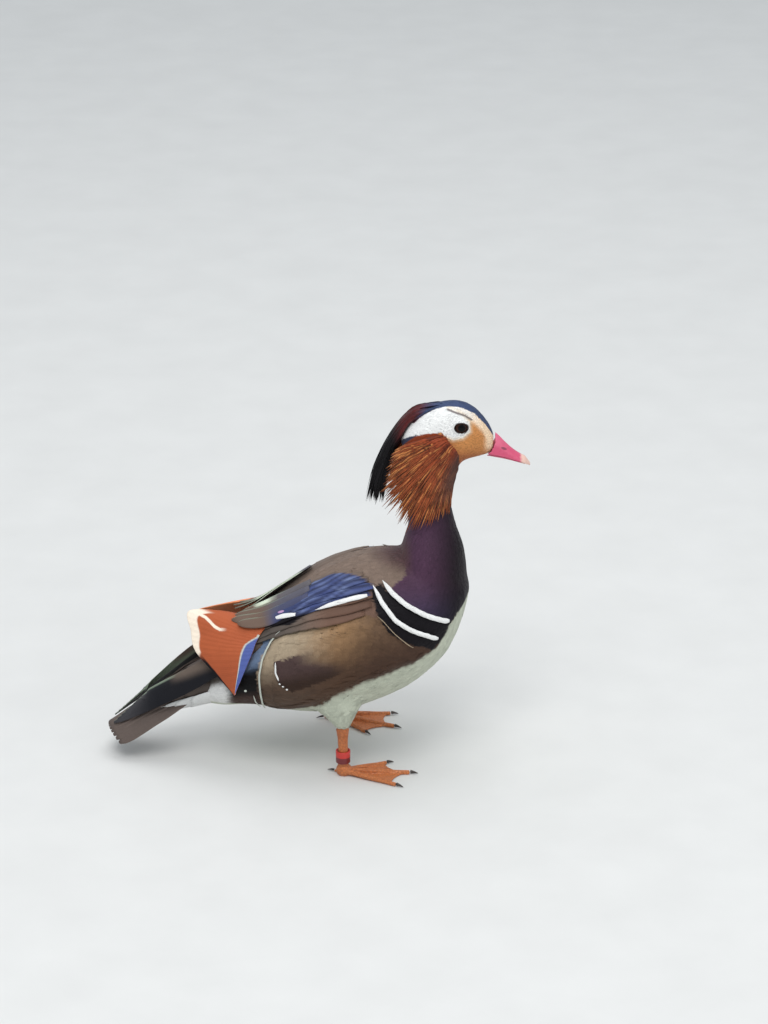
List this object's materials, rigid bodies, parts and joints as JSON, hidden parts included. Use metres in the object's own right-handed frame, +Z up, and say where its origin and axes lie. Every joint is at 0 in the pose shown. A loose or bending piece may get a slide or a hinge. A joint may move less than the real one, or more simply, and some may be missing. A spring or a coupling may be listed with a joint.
{
  "type": "mandarin duck model",
  "caption": "Life-size still model of a drake mandarin duck standing on both webbed feet, with crest, ruff and raised sail feathers.",
  "frame": {"origin": "centre of the bounding box in plan, at floor level", "axes": "+X towards the bill, +Y to the bird's left, +Z up"},
  "size_m": [0.2822, 0.1144, 0.2539],
  "materials": {
    "body_feathers": "soft matte plumage, golden tan to brown, white below",
    "breast_feathers": "smooth dark maroon-purple plumage",
    "head_feathers": "short dense plumage, cream white, tan and dark green by area",
    "crest_feathers": "long silky plumes, copper red to black",
    "hackles": "long narrow chestnut-orange hackles",
    "wing_feathers": "smooth overlapping feathers, slate blue and brown",
    "flight_feathers": "stiff dark quills with silvery green edges",
    "sail_feathers": "stiff upright orange vane with cream edge",
    "tail_feathers": "stiff grey-brown quills",
    "bill": "satin raspberry red, pale nail at the tip",
    "eye": "glossy dark brown",
    "leg_skin": "scaly orange skin",
    "claw": "dark horn",
    "ring": "smooth red"
  },
  "bodies": {
    "root": {"torso": "body_feathers", "neck": "breast_feathers", "head": "head_feathers", "crest": "crest_feathers", "bill_upper": "bill", "bill_lower": "bill", "ruff_right": "hackles", "ruff_left": "hackles", "wing_right": "wing_feathers", "wing_left": "wing_feathers", "primaries_right": "flight_feathers", "primaries_left": "flight_feathers", "sail_right": "sail_feathers", "sail_left": "sail_feathers", "tail": "tail_feathers", "eye_right": "eye", "eye_left": "eye", "thigh_right": "body_feathers", "thigh_left": "body_feathers", "shank_right": "leg_skin", "shank_left": "leg_skin", "foot_right": "leg_skin", "foot_left": "leg_skin", "leg_ring": "ring", "claw_inner_right": "claw", "claw_middle_right": "claw", "claw_outer_right": "claw", "claw_hind_right": "claw", "claw_inner_left": "claw", "claw_middle_left": "claw", "claw_outer_left": "claw", "claw_hind_left": "claw"}
  },
  "joints": []
}
